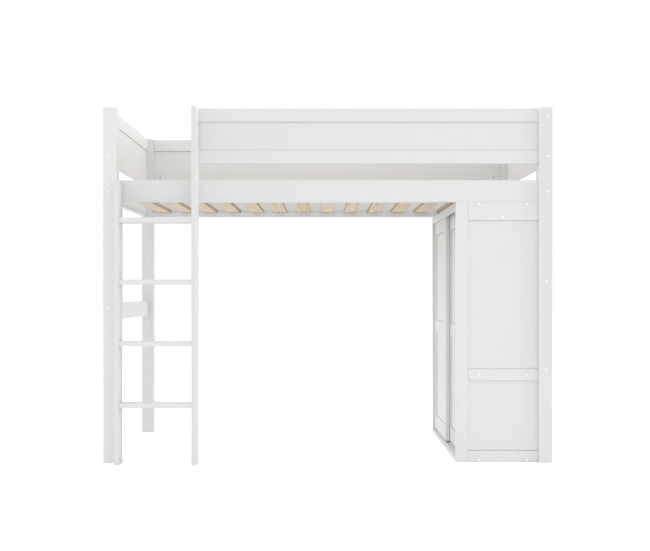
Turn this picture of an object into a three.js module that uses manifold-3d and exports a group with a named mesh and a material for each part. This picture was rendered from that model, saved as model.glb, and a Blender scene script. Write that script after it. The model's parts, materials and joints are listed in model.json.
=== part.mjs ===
// Loft bed with a ladder at its left end and a wardrobe with two sliding doors under its right end.
// Millimetres, +Z up, +X towards the wardrobe, -Y towards the ladder. The origin lies on the floor,
// midway along the bed and midway between the front of the ladder and the back of the rear posts.

import * as THREE from 'three';
import { mergeVertices } from 'three/addons/utils/BufferGeometryUtils.js';
import Module from 'manifold-3d';

// Clearances
const jointGap = 0.3; // between boards that are bolted or glued together
const grooveGap = 0.3; // between a panel and the groove that holds it
const runningGap = 0.5; // between a door's tongue and each side of its groove
const doorSeatGap = 0.3; // under the tongue that carries a door

// Bed, over its posts
const bedLength = 2070;
const bedWidth = 1034;
const postHeight = 1638;
const postSide = 62;
const postEdgeRadius = 1;
const postEdgeSteps = 4;

// Bed rails, which carry the slats, and the boards at the two ends
const railHeight = 99;
const railThickness = 28;
const railRecess = 17; // behind the front and rear faces of the posts
const endRailThickness = 22;
const endRailRecess = 9; // behind the end faces of the posts

// Slats and the ledgers they rest on
const slatCount = 15; // spread evenly between the boards at the two ends
const slatWidth = 68;
const slatThickness = 18;
const slatEndGap = 1;
const ledgerWidth = 30;
const ledgerHeight = 23;

// Guards round the mattress: a top rail, a panel and a bottom rail each
const guardDrop = 1.5; // of the guards, below the tops of the posts
const guardGap = 77; // between the bed rails and the guards
const guardBottomRailHeight = 61;
const guardPanelHeight = 132; // between the two rails
const guardTopRailHeight = 62.5;
const guardPanelRecess = 5; // behind the faces of its rails
const grooveDepth = 7; // in the rails and stiles, for the edge of a panel

// Ladder, bolted to the front rail and the front guard
const ladderReach = 69; // in front of the posts
const ladderInnerWidth = 330;
const stileThickness = 23;
const stileHousing = 8; // that the stiles are let over the faces of the rail and the guard
const shortStileDrop = 10; // of the left stile, below the top of the bed rail
const tallStileDrop = 3.5; // of the right stile, below the top of the guard
const guardLap = 21; // of the front guard's free end behind the right stile
const treadCount = 4; // spread evenly from the floor up
const topTreadDrop = 79; // from the underside of the bed rail to the top of the highest tread
const treadThickness = 23;
const treadDepth = 88;
const treadSetback = 3; // behind the front edges of the stiles

// Cross rail between the two left posts
const crossRailBottom = 654;
const crossRailHeight = 81;
const crossRailThickness = 28;
const crossRailRecess = 7;
const crossRailBoltDrop = 24; // from its top edge to the bolt at each end

// Wardrobe walls, front and rear: a frame round a full-height panel
const wardrobeDepth = 442.5; // from the right end of the bed
const wallThickness = 28;
const wallPanelRecess = 5;
const wallStileWidth = 57;
const wallTopRailHeight = 86;
const wallMidRailBottom = 378.5;
const wallMidRailHeight = 53;
const wallBottomRailHeight = 54;

// Boards inside the wardrobe, the clothes rail and the back
const topBoardThickness = 20;
const bottomBoardThickness = 18;
const shelfThickness = 18;
const shelfDoorGap = 2.5; // between the inner door and the shelf
const clothesRailDiameter = 25;
const clothesRailSides = 32;
const clothesRailDrop = 71; // from the top of the wardrobe to the middle of the rail
const backPanelThickness = 6;
const backPanelFloorGap = 3;
const backRailThickness = 28;
const backRailRecess = 13;
const backRailHeight = 80;
const backRailCentres = { lower: 433, upper: 838 };

// Pelmet that hides the tops of the doors
const pelmetThickness = 12;
const pelmetHeight = 39;

// Sliding doors, the outer one at the rear and the inner one at the front
const doorThickness = 19.5;
const doorPelmetGap = 1;
const doorGap = 1.5; // between the two doors
const doorSideGap = 1; // between a shut door and the wall beside it
const doorOverlap = 30;
const doorFloorGap = 4; // between a door's frame and the bottom board
const doorLift = 8; // free height above a door's frame, for hanging it
const doorStileWidth = 52;
const doorTopRailHeight = 78;
const doorBottomRailHeight = 78;
const doorMidRailBottom = 564;
const doorMidRailHeight = 65;
const doorPanelRecess = 5;
const tongueThickness = 6;
const tongueGrip = 6; // of the top tongue inside its groove
const bottomGrooveDepth = 6;
const topGrooveDepth = 14.5;

// Seats for the round caps that cover bolts and screws
const capDiameter = 14;
const capSeatDepth = 3;
const wallScrewInset = { face: 106.5, end: 114 }; // from the doors' side, and from the end of the bed
const treadScrewInset = 15; // from the edges of a tread to the screws into its ends
const stileScrewInset = 20; // from the edges of a bed rail to the screws into a stile

// Bolts through the posts. Those along the end boards lie so far above the middle of the bed rail and
// of the guard's two rails, and those along the bed lie higher, so that the two pass each other.
const boltRise = { bedRail: -4, guardBottomRail: 3.5, guardTopRail: -8 };
const boltStagger = 12;

// Seats for the barrel nuts of these bolts, in the faces of the boards
const nutDiameter = 10;
const nutSeatDepth = 3;
const nutInset = 37.6; // from the post to the middle of the nut
const seatSides = 16;

// Fine line along each joint between a stile and a rail
const jointLineWidth = 0.8;
const jointLineDepth = 0.8;

const cutMargin = 1; // that a cutter runs out of what it cuts

// Planes that the pieces are set out from
const overallDepth = bedWidth + ladderReach;
const front = { plane: ladderReach - overallDepth / 2, inward: 1 };
const rear = { plane: overallDepth / 2, inward: -1 };
const left = { plane: -bedLength / 2, inward: 1 };
const right = { plane: bedLength / 2, inward: -1 };
const guardTop = postHeight - guardDrop;
const guardPanelTop = guardTop - guardTopRailHeight;
const guardPanelBottom = guardPanelTop - guardPanelHeight;
const guardBottom = guardPanelBottom - guardBottomRailHeight;
const railTop = guardBottom - guardGap;
const railBottom = railTop - railHeight;

const wasm = await Module();
wasm.setup();

const finishes = {
  lacquer: { color: 0xf0f0ee, roughness: 0.45, metalness: 0 },
  pine: { color: 0xdfc8a6, roughness: 0.7, metalness: 0 },
};

function piece(name, finish, geometry) {
  const mesh = new THREE.Mesh(geometry, new THREE.MeshStandardMaterial(finishes[finish]));
  mesh.name = name;
  return mesh;
}

// The lower and upper ends of a stretch that lies so far inside one of the outer planes
function inside(side, near, far) {
  const ends = [side.plane + side.inward * near, side.plane + side.inward * far];
  return ends.sort((a, b) => a - b);
}

// A stretch made shorter at both ends
function shrunk([low, high], gap) {
  return [low + gap, high - gap];
}

// Block between the given ends along X, Y and Z
function blockGeometry(x, y, z) {
  const geometry = new THREE.BoxGeometry(x[1] - x[0], y[1] - y[0], z[1] - z[0]);
  return geometry.translate((x[0] + x[1]) / 2, (y[0] + y[1]) / 2, (z[0] + z[1]) / 2);
}

function board(name, x, y, z, finish = 'lacquer') {
  const mesh = piece(name, finish, new THREE.BoxGeometry(x[1] - x[0], y[1] - y[0], z[1] - z[0]));
  mesh.position.set((x[0] + x[1]) / 2, (y[0] + y[1]) / 2, (z[0] + z[1]) / 2);
  return mesh;
}

function outlineShape(points) {
  return new THREE.Shape(points.map(([u, v]) => new THREE.Vector2(u, v)));
}

function extruded(shape, depth, curveSegments = 1) {
  return new THREE.ExtrudeGeometry(shape, { depth, bevelEnabled: false, curveSegments });
}

function toSolid(geometry) {
  const bare = geometry.clone();
  bare.deleteAttribute('normal');
  bare.deleteAttribute('uv');
  const merged = mergeVertices(bare);
  const vertProperties = merged.attributes.position.array;
  const triVerts = Uint32Array.from(merged.index.array);
  return new wasm.Manifold(new wasm.Mesh({ numProp: 3, vertProperties, triVerts }));
}

function toGeometry(solid) {
  const mesh = solid.getMesh();
  const geometry = new THREE.BufferGeometry();
  geometry.setAttribute('position', new THREE.Float32BufferAttribute(mesh.vertProperties, 3));
  geometry.setIndex(new THREE.Uint32BufferAttribute(mesh.triVerts, 1));
  geometry.computeVertexNormals();
  return geometry;
}

function cut(geometry, ...cutters) {
  const whole = toSolid(geometry);
  return toGeometry(cutters.reduce((solid, cutter) => solid.subtract(toSolid(cutter)), whole));
}

// Board with seats or a housing cut into its faces
function drilledBoard(name, x, y, z, cuts) {
  return piece(name, 'lacquer', cut(blockGeometry(x, y, z), ...cuts));
}

// Cutters for the line of one joint, on both faces of a frame: across its thickness, and over it
function jointLines(along, place, thickness, z) {
  const across = [place - jointLineWidth / 2, place + jointLineWidth / 2];
  const [low, high] = thickness;
  const faces = [[low - cutMargin, low + jointLineDepth], [high - jointLineDepth, high + cutMargin]];
  return faces.map((face) => {
    const [x, y] = along === 'x' ? [across, face] : [face, across];
    return blockGeometry(x, y, z);
  });
}

// Round seat in a face that looks along X or Y; the centre lies on that face
function roundSeat(along, centre, inward, diameter, depth) {
  const hole = new THREE.CylinderGeometry(diameter / 2, diameter / 2, depth + cutMargin, seatSides);
  if (along === 'x') hole.rotateZ(Math.PI / 2);
  hole.translate(...centre);
  const shift = (inward * (depth - cutMargin)) / 2;
  return along === 'x' ? hole.translate(shift, 0, 0) : hole.translate(0, shift, 0);
}

function capSeat(along, centre, inward) {
  return roundSeat(along, centre, inward, capDiameter, capSeatDepth);
}

// Seats for the two nuts in a face of a board between two posts. The face looks against the
// direction inward, and the posts' inner faces lie at the given stops.
function nutSeats(along, face, inward, stops, z) {
  const places = shrunk(stops, nutInset);
  return places.map((place) => {
    const centre = along === 'x' ? [face, place, z] : [place, face, z];
    return roundSeat(along, centre, inward, nutDiameter, nutSeatDepth);
  });
}

// Posts, with their long edges rounded
function postShape() {
  const half = postSide / 2;
  const flat = half - postEdgeRadius;
  const shape = new THREE.Shape();
  shape.moveTo(-flat, -half);
  shape.lineTo(flat, -half);
  shape.absarc(flat, -flat, postEdgeRadius, -Math.PI / 2, 0);
  shape.lineTo(half, flat);
  shape.absarc(flat, flat, postEdgeRadius, 0, Math.PI / 2);
  shape.lineTo(-flat, half);
  shape.absarc(-flat, flat, postEdgeRadius, Math.PI / 2, Math.PI);
  shape.lineTo(-half, -flat);
  shape.absarc(-flat, -flat, postEdgeRadius, Math.PI, (3 * Math.PI) / 2);
  return shape;
}

// Heights of the bolts into the boards at the two ends, and of those into the boards along the bed
const endBolts = {
  bedRail: railBottom + railHeight / 2 + boltRise.bedRail,
  guardBottomRail: guardBottom + guardBottomRailHeight / 2 + boltRise.guardBottomRail,
  guardTopRail: guardTop - guardTopRailHeight / 2 + boltRise.guardTopRail,
};
const longBolts = {
  bedRail: endBolts.bedRail + boltStagger,
  guardBottomRail: endBolts.guardBottomRail + boltStagger,
  guardTopRail: endBolts.guardTopRail + boltStagger,
};
const crossRailBolt = crossRailBottom + crossRailHeight - crossRailBoltDrop;

// Bolts through the front or rear face of a post: their heights, and how far they lie inside its end face
function crossBolts(end) {
  const depth = endRailRecess + endRailThickness / 2;
  const bolts = Object.values(endBolts).map((z) => ({ z, depth }));
  if (end === left) {
    return [...bolts, { z: crossRailBolt, depth: crossRailRecess + crossRailThickness / 2 }];
  }
  const backDepth = backRailRecess + backRailThickness / 2;
  return [...bolts, ...Object.values(backRailCentres).map((z) => ({ z, depth: backDepth }))];
}

// Post, its long edges rounded, with a seat over each bolt. Its middle lies at the origin of the mesh.
function post(name, end, side) {
  const half = postSide / 2;
  const boardMiddle = side.inward * (railRecess + railThickness / 2 - half);
  const hasGuard = !(end === left && side === front); // the ladder leads in beside the other post
  const lengthwise = hasGuard ? Object.values(longBolts) : [longBolts.bedRail];
  const seats = [
    ...crossBolts(end).map(({ z, depth }) =>
      capSeat('y', [end.inward * (depth - half), -side.inward * half, z], side.inward)),
    ...lengthwise.map((z) => capSeat('x', [-end.inward * half, boardMiddle, z], end.inward)),
  ];
  const mesh = piece(name, 'lacquer', cut(extruded(postShape(), postHeight, postEdgeSteps), ...seats));
  mesh.position.x = end.plane + end.inward * half;
  mesh.position.y = side.plane + side.inward * half;
  return mesh;
}

function posts() {
  const group = new THREE.Group();
  group.add(post('post_front_left', left, front), post('post_front_right', right, front));
  group.add(post('post_rear_left', left, rear), post('post_rear_right', right, rear));
  return group;
}

// Inner faces of the posts, and the stretches of the boards between them
const postFacesX = [left.plane + postSide, right.plane - postSide];
const postFacesY = [front.plane + postSide, rear.plane - postSide];
const betweenPostsX = shrunk(postFacesX, jointGap);
const betweenPostsY = shrunk(postFacesY, jointGap);

// X of the ladder's stiles, each from its left face to its right face
const leftStileX = [betweenPostsX[0], betweenPostsX[0] + stileThickness];
const rightStileX = [
  leftStileX[1] + ladderInnerWidth,
  leftStileX[1] + ladderInnerWidth + stileThickness,
];
const stileMiddles = [leftStileX, rightStileX].map(([low, high]) => (low + high) / 2);

// Inner faces of the long rails, and of the boards at the two ends
const innerFaceY = [
  front.plane + railRecess + railThickness,
  rear.plane - railRecess - railThickness,
];
const innerFaceX = [
  left.plane + endRailRecess + endRailThickness,
  right.plane - endRailRecess - endRailThickness,
];

// Seats in the inner face of the front bed rail, over the screws into the ladder's stiles
function stileScrewSeats() {
  const heights = [railBottom + stileScrewInset, railTop - shortStileDrop - stileScrewInset];
  return stileMiddles.flatMap((x) =>
    heights.map((z) => capSeat('y', [x, innerFaceY[0], z], -front.inward)));
}

function bedRails() {
  const group = new THREE.Group();
  const z = [railBottom, railTop];
  for (const [name, side, face] of [['front', front, innerFaceY[0]], ['rear', rear, innerFaceY[1]]]) {
    const y = inside(side, railRecess, railRecess + railThickness);
    const seats = nutSeats('y', face, -side.inward, postFacesX, longBolts.bedRail);
    if (side === front) seats.push(...stileScrewSeats());
    group.add(drilledBoard(`bed_rail_${name}`, betweenPostsX, y, z, seats));
  }
  for (const [name, end, face] of [['left', left, innerFaceX[0]], ['right', right, innerFaceX[1]]]) {
    const x = inside(end, endRailRecess, endRailRecess + endRailThickness);
    const seats = nutSeats('x', face, -end.inward, postFacesY, endBolts.bedRail);
    group.add(drilledBoard(`bed_rail_${name}`, x, betweenPostsY, z, seats));
  }
  return group;
}

function slatBase() {
  const group = new THREE.Group();
  const ledgerFace = railRecess + railThickness + jointGap;
  const ledgerTop = railBottom + ledgerHeight;
  for (const [name, side] of [['front', front], ['rear', rear]]) {
    const y = inside(side, ledgerFace, ledgerFace + ledgerWidth);
    group.add(board(`slat_ledger_${name}`, betweenPostsX, y, [railBottom, ledgerTop]));
  }
  const slatBottom = ledgerTop + jointGap;
  const y = shrunk(innerFaceY, slatEndGap);
  const slatGap = (innerFaceX[1] - innerFaceX[0] - slatCount * slatWidth) / (slatCount + 1);
  for (let i = 0; i < slatCount; i += 1) {
    const start = innerFaceX[0] + slatGap + i * (slatWidth + slatGap);
    const x = [start, start + slatWidth];
    const number = String(i + 1).padStart(2, '0');
    group.add(board(`slat_${number}`, x, y, [slatBottom, slatBottom + slatThickness], 'pine'));
  }
  return group;
}

// Section of a guard rail, with a groove along the edge that faces the panel. The section runs
// over the thickness, from 0, and up from the edge away from the panel; flipped, it runs down.
function grooveSection(thickness, height, flipped) {
  const recess = guardPanelRecess - grooveGap;
  const floor = height - grooveDepth - grooveGap;
  const points = [
    [0, 0],
    [thickness, 0],
    [thickness, height],
    [thickness - recess, height],
    [thickness - recess, floor],
    [recess, floor],
    [recess, height],
    [0, height],
  ];
  return flipped ? points.map(([u, v]) => [thickness - u, -v]) : points;
}

// Guard rail along X, or along Y for the ends of the bed
function grooveRail(along, run, across, height, z, flipped) {
  const section = outlineShape(grooveSection(across[1] - across[0], height, flipped));
  const rail = extruded(section, run[1] - run[0]).rotateX(Math.PI / 2);
  if (along === 'x') return rail.rotateZ(Math.PI / 2).translate(run[0], across[0], z);
  return rail.translate(across[0], run[1], z);
}

// Guard: its panel between two rails, with the given seats in the rails
function guard(name, along, run, across, seats) {
  const group = new THREE.Group();
  const panelAcross = shrunk(across, guardPanelRecess);
  const panelZ = [guardPanelBottom - grooveDepth, guardPanelTop + grooveDepth];
  const [x, y] = along === 'x' ? [run, panelAcross] : [panelAcross, run];
  const bottomRail = grooveRail(along, run, across, guardBottomRailHeight, guardBottom, false);
  const topRail = grooveRail(along, run, across, guardTopRailHeight, guardTop, true);
  group.add(piece(`${name}_bottom_rail`, 'lacquer', cut(bottomRail, ...seats.bottomRail)));
  group.add(piece(`${name}_top_rail`, 'lacquer', cut(topRail, ...seats.topRail)));
  group.add(board(`${name}_panel`, x, y, panelZ));
  return group;
}

function endGuard(name, end, face) {
  const far = endRailRecess + endRailThickness;
  return guard(name, 'y', betweenPostsY, inside(end, endRailRecess, far), {
    bottomRail: nutSeats('x', face, -end.inward, postFacesY, endBolts.guardBottomRail),
    topRail: nutSeats('x', face, -end.inward, postFacesY, endBolts.guardTopRail),
  });
}

function rearGuard() {
  const far = railRecess + railThickness;
  const face = innerFaceY[1];
  return guard('guard_rear', 'x', betweenPostsX, inside(rear, railRecess, far), {
    bottomRail: nutSeats('y', face, -rear.inward, postFacesX, longBolts.guardBottomRail),
    topRail: nutSeats('y', face, -rear.inward, postFacesX, longBolts.guardTopRail),
  });
}

// The front guard is bolted to the post at its right, and screwed to the ladder's right stile
function frontGuard() {
  const far = railRecess + railThickness;
  const face = innerFaceY[0];
  const run = [rightStileX[1] - guardLap, betweenPostsX[1]];
  const lapMiddle = rightStileX[1] - guardLap / 2;
  const seats = (bolt, middle) => [
    nutSeats('y', face, -front.inward, postFacesX, bolt)[1],
    capSeat('y', [lapMiddle, face, middle], -front.inward),
  ];
  return guard('guard_front', 'x', run, inside(front, railRecess, far), {
    bottomRail: seats(longBolts.guardBottomRail, guardBottom + guardBottomRailHeight / 2),
    topRail: seats(longBolts.guardTopRail, guardTop - guardTopRailHeight / 2),
  });
}

function guards() {
  const group = new THREE.Group();
  group.add(frontGuard(), rearGuard());
  group.add(endGuard('guard_left', left, innerFaceX[0]), endGuard('guard_right', right, innerFaceX[1]));
  return group;
}

function ladder() {
  const group = new THREE.Group();
  const frontEdge = front.plane - ladderReach;
  const boardFace = front.plane + railRecess - jointGap;
  const y = [frontEdge, boardFace + stileHousing];
  const treadX = shrunk([leftStileX[1], rightStileX[0]], jointGap);
  const treadY = [frontEdge + treadSetback, frontEdge + treadSetback + treadDepth];
  const treadTops = [];
  for (let i = 1; i <= treadCount; i += 1) {
    treadTops.push((i * (railBottom - topTreadDrop)) / treadCount);
  }
  treadTops.forEach((top, i) => {
    group.add(board(`ladder_tread_${i + 1}`, treadX, treadY, [top - treadThickness, top]));
  });

  // Seats over the screws into the ends of the treads, in a stile's outer face
  const screwSeats = (face, inward) => treadTops.flatMap((top) =>
    shrunk(treadY, treadScrewInset).map((place) =>
      capSeat('x', [face, place, top - treadThickness / 2], inward)));
  const stiles = [
    ['left', leftStileX, leftStileX[0], left.inward, railTop - shortStileDrop],
    ['right', rightStileX, rightStileX[1], right.inward, guardTop - tallStileDrop],
  ];
  for (const [name, x, face, inward, top] of stiles) {
    const housing = blockGeometry(
      shrunk(x, -cutMargin),
      [boardFace, y[1] + cutMargin],
      [railBottom - jointGap, top + cutMargin],
    );
    const cuts = [housing, ...screwSeats(face, inward)];
    group.add(drilledBoard(`ladder_stile_${name}`, x, y, [0, top], cuts));
  }
  return group;
}

function crossRail() {
  const x = inside(left, crossRailRecess, crossRailRecess + crossRailThickness);
  const z = [crossRailBottom, crossRailBottom + crossRailHeight];
  const seats = nutSeats('x', x[1], -left.inward, postFacesY, crossRailBolt);
  return drilledBoard('cross_rail_left', x, betweenPostsY, z, seats);
}

// Planes of the wardrobe
const wardrobeTop = railBottom - jointGap;
const wardrobeFace = right.plane - wardrobeDepth;
const wallInnerY = [
  front.plane + railRecess + wallThickness,
  rear.plane - railRecess - wallThickness,
];
const insideY = shrunk(wallInnerY, jointGap);
const backRailX = inside(right, backRailRecess, backRailRecess + backRailThickness);
const backPanelX = [backRailX[0] - jointGap - backPanelThickness, backRailX[0] - jointGap];
const boardRear = backPanelX[0] - jointGap;
const topBoardBottom = wardrobeTop - topBoardThickness;

// Doors: the face nearest the room and the face nearest the clothes
const outerDoorX = [
  wardrobeFace + pelmetThickness + doorPelmetGap,
  wardrobeFace + pelmetThickness + doorPelmetGap + doorThickness,
];
const innerDoorX = [outerDoorX[1] + doorGap, outerDoorX[1] + doorGap + doorThickness];

const shelfMiddle = wallMidRailBottom + wallMidRailHeight / 2;
const wallScrewColumns = [wardrobeFace + wallScrewInset.face, right.plane - wallScrewInset.end];
const clothesRailPlace = {
  x: (wallScrewColumns[0] + wallScrewColumns[1]) / 2,
  z: wardrobeTop - clothesRailDrop,
};

// Seats over the screws that go through a wall into the boards and the clothes rail
function wallSeats(side) {
  const face = side.plane + side.inward * railRecess;
  const rows = [bottomBoardThickness / 2, shelfMiddle, wardrobeTop - topBoardThickness / 2];
  const places = rows.flatMap((z) => wallScrewColumns.map((x) => [x, face, z]));
  places.push([clothesRailPlace.x, face, clothesRailPlace.z]);
  return places.map((place) => capSeat('y', place, side.inward));
}

// Wall of the wardrobe: a stile, three rails that run to the post, and a panel let into them.
// The middle rail laps over both faces of the panel.
function wall(name, side) {
  const group = new THREE.Group();
  const x = [wardrobeFace, betweenPostsX[1]];
  const y = inside(side, railRecess, railRecess + wallThickness);
  const stileX = wardrobeFace + wallStileWidth;
  const midTop = wallMidRailBottom + wallMidRailHeight;
  const opening = { bottom: wallBottomRailHeight, top: wardrobeTop - wallTopRailHeight };
  const openX = [stileX, x[1] + cutMargin];
  const throughY = shrunk(y, -cutMargin);
  const lower = blockGeometry(openX, throughY, [opening.bottom, wallMidRailBottom]);
  const upper = blockGeometry(openX, throughY, [midTop, opening.top]);
  const panelX = [stileX - grooveDepth, x[1]];
  const panelY = shrunk(y, wallPanelRecess);
  const panelZ = [opening.bottom - grooveDepth, opening.top + grooveDepth];
  const slotX = [panelX[0] - grooveGap, openX[1]];
  const slot = blockGeometry(slotX, shrunk(panelY, -grooveGap), shrunk(panelZ, -grooveGap));
  const rails = [
    [-cutMargin, opening.bottom],
    [wallMidRailBottom, midTop],
    [opening.top, wardrobeTop + cutMargin],
  ];
  const lines = rails.flatMap((z) => jointLines('x', stileX, y, z));
  const slab = blockGeometry(x, y, [0, wardrobeTop]);
  const frame = cut(slab, lower, upper, slot, ...lines, ...wallSeats(side));
  group.add(piece(`${name}_frame`, 'lacquer', frame));
  group.add(board(`${name}_panel`, panelX, panelY, panelZ));
  return group;
}

// Outline of a board inside the wardrobe, notched round the two posts at its rear edge
function innerBoardShape(faceX) {
  const postFaceX = betweenPostsX[1];
  return outlineShape([
    [faceX, insideY[0]],
    [postFaceX, insideY[0]],
    [postFaceX, betweenPostsY[0]],
    [boardRear, betweenPostsY[0]],
    [boardRear, betweenPostsY[1]],
    [postFaceX, betweenPostsY[1]],
    [postFaceX, insideY[1]],
    [faceX, insideY[1]],
  ]);
}

// Two grooves that the doors run in, from wall to wall
function doorGrooves(z) {
  const grooveWidth = tongueThickness + 2 * runningGap;
  return [outerDoorX, innerDoorX].map(([low, high]) => {
    const centre = (low + high) / 2;
    const x = [centre - grooveWidth / 2, centre + grooveWidth / 2];
    return blockGeometry(x, shrunk(insideY, -cutMargin), z);
  });
}

function wardrobeBoards() {
  const group = new THREE.Group();
  const bottomSlab = extruded(innerBoardShape(wardrobeFace), bottomBoardThickness);
  const bottomGrooveFloor = bottomBoardThickness - bottomGrooveDepth;
  const bottomGrooves = doorGrooves([bottomGrooveFloor, bottomBoardThickness + cutMargin]);
  const bottom = cut(bottomSlab, ...bottomGrooves);
  group.add(piece('wardrobe_bottom_board', 'lacquer', bottom));

  const topFace = wardrobeFace + pelmetThickness + jointGap;
  const topSlab = extruded(innerBoardShape(topFace), topBoardThickness).translate(0, 0, topBoardBottom);
  const topGrooves = doorGrooves([topBoardBottom - cutMargin, topBoardBottom + topGrooveDepth]);
  group.add(piece('wardrobe_top_board', 'lacquer', cut(topSlab, ...topGrooves)));

  const shelfShape = innerBoardShape(innerDoorX[1] + shelfDoorGap);
  const shelf = piece('wardrobe_shelf', 'lacquer', extruded(shelfShape, shelfThickness));
  shelf.position.z = shelfMiddle - shelfThickness / 2;
  group.add(shelf);
  return group;
}

function wardrobeBack() {
  const group = new THREE.Group();
  const panelZ = [backPanelFloorGap, wardrobeTop];
  group.add(board('wardrobe_back_panel', backPanelX, betweenPostsY, panelZ));
  for (const [name, centre] of Object.entries(backRailCentres)) {
    const z = [centre - backRailHeight / 2, centre + backRailHeight / 2];
    const seats = nutSeats('x', backRailX[1], right.inward, postFacesY, centre);
    group.add(drilledBoard(`wardrobe_back_rail_${name}`, backRailX, betweenPostsY, z, seats));
  }
  return group;
}

// Round wooden rod from wall to wall, with a screw into each end
function clothesRail() {
  const radius = clothesRailDiameter / 2;
  const length = insideY[1] - insideY[0];
  const rod = new THREE.CylinderGeometry(radius, radius, length, clothesRailSides);
  const mesh = piece('clothes_rail', 'pine', rod);
  mesh.position.set(clothesRailPlace.x, (insideY[0] + insideY[1]) / 2, clothesRailPlace.z);
  return mesh;
}

function pelmet() {
  const x = [wardrobeFace, wardrobeFace + pelmetThickness];
  return board('wardrobe_pelmet', x, insideY, [wardrobeTop - pelmetHeight, wardrobeTop]);
}

// Heights of a door: its frame, and the tongues that run in the two boards
const doorBottom = bottomBoardThickness + doorFloorGap;
const doorTop = topBoardBottom - doorLift;
const tongueBottom = bottomBoardThickness - bottomGrooveDepth + doorSeatGap;
const tongueTop = topBoardBottom + tongueGrip;
const doorWidth = (wallInnerY[1] - wallInnerY[0] - 2 * doorSideGap + doorOverlap) / 2;

// Door: a frame of two stiles and three rails round one panel that runs behind the middle rail
function door(name, x, y) {
  const group = new THREE.Group();
  const tongueX = shrunk(x, (doorThickness - tongueThickness) / 2);
  const openY = shrunk(y, doorStileWidth);
  const throughX = shrunk(x, -cutMargin);
  const midTop = doorMidRailBottom + doorMidRailHeight;
  const opening = { bottom: doorBottom + doorBottomRailHeight, top: doorTop - doorTopRailHeight };
  const panelX = shrunk(x, doorPanelRecess);
  const panelY = shrunk(openY, -grooveDepth);
  const panelZ = [opening.bottom - grooveDepth, opening.top + grooveDepth];
  const slot = blockGeometry(
    shrunk(panelX, -grooveGap),
    shrunk(panelY, -grooveGap),
    shrunk(panelZ, -grooveGap),
  );
  const rails = [
    [doorBottom - cutMargin, opening.bottom],
    [doorMidRailBottom, midTop],
    [opening.top, doorTop + cutMargin],
  ];
  const lines = openY.flatMap((place) => rails.flatMap((z) => jointLines('y', place, x, z)));
  const leaf = toSolid(blockGeometry(x, y, [doorBottom, doorTop]));
  const tongues = toSolid(blockGeometry(tongueX, y, [tongueBottom, tongueTop]));
  const frame = cut(
    toGeometry(leaf.add(tongues)),
    blockGeometry(throughX, openY, [opening.bottom, doorMidRailBottom]),
    blockGeometry(throughX, openY, [midTop, opening.top]),
    slot,
    ...lines,
  );
  group.add(piece(`${name}_frame`, 'lacquer', frame));
  group.add(board(`${name}_panel`, panelX, panelY, panelZ));
  return group;
}

function doors() {
  const group = new THREE.Group();
  const shutFront = wallInnerY[0] + doorSideGap;
  const shutRear = wallInnerY[1] - doorSideGap;
  group.add(door('door_outer', outerDoorX, [shutRear - doorWidth, shutRear]));
  group.add(door('door_inner', innerDoorX, [shutFront, shutFront + doorWidth]));
  return group;
}

function wardrobe() {
  const group = new THREE.Group();
  group.add(wall('wardrobe_front', front), wall('wardrobe_rear', rear));
  group.add(wardrobeBoards(), wardrobeBack(), clothesRail(), pelmet(), doors());
  return group;
}

const loftBed = new THREE.Group();
loftBed.add(posts(), bedRails(), slatBase(), guards(), ladder(), crossRail(), wardrobe());

export default loftBed;
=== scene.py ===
import json
import math

import bpy
from mathutils import Matrix, Vector

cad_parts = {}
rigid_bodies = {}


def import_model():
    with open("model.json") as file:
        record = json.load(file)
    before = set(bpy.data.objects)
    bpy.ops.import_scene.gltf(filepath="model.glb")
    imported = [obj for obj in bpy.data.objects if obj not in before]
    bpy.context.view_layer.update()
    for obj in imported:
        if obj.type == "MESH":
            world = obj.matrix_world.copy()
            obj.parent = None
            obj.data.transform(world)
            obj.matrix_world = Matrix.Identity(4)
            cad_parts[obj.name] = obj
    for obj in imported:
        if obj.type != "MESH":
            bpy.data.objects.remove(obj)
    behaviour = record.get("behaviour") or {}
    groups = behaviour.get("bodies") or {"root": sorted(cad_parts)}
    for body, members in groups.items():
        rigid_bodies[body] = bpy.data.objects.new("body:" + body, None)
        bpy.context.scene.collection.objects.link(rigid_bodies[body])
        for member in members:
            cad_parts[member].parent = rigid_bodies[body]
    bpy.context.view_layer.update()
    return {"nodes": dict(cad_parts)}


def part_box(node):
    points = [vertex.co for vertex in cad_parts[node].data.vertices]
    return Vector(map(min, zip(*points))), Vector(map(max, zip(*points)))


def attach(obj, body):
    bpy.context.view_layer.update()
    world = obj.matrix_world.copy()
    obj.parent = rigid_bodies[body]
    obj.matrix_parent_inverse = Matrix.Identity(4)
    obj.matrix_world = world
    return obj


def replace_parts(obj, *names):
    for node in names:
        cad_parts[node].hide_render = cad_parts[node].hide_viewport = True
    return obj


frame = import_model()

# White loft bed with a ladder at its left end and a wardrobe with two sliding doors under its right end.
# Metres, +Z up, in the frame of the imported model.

MM = 0.001
NODES = frame["nodes"]
AXES = {"x": Vector((1, 0, 0)), "y": Vector((0, 1, 0)), "z": Vector((0, 0, 1))}
OUTWARD = {
    "left": -AXES["x"],
    "right": AXES["x"],
    "front": -AXES["y"],
    "rear": AXES["y"],
    "up": AXES["z"],
}

# Photograph: its size, and the lens and place worked out from the bed's own lines
IMAGE_WIDTH = 650
IMAGE_HEIGHT = 551
FOCAL_PIXELS = 988
CENTRE_PIXEL = (324, 289.5)
CAMERA_PLACE = (-0.0173, -5.0325, 0.799)
LEVEL_VIEW = (math.radians(90), 0, 0)
SENSOR_WIDTH = 36

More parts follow.
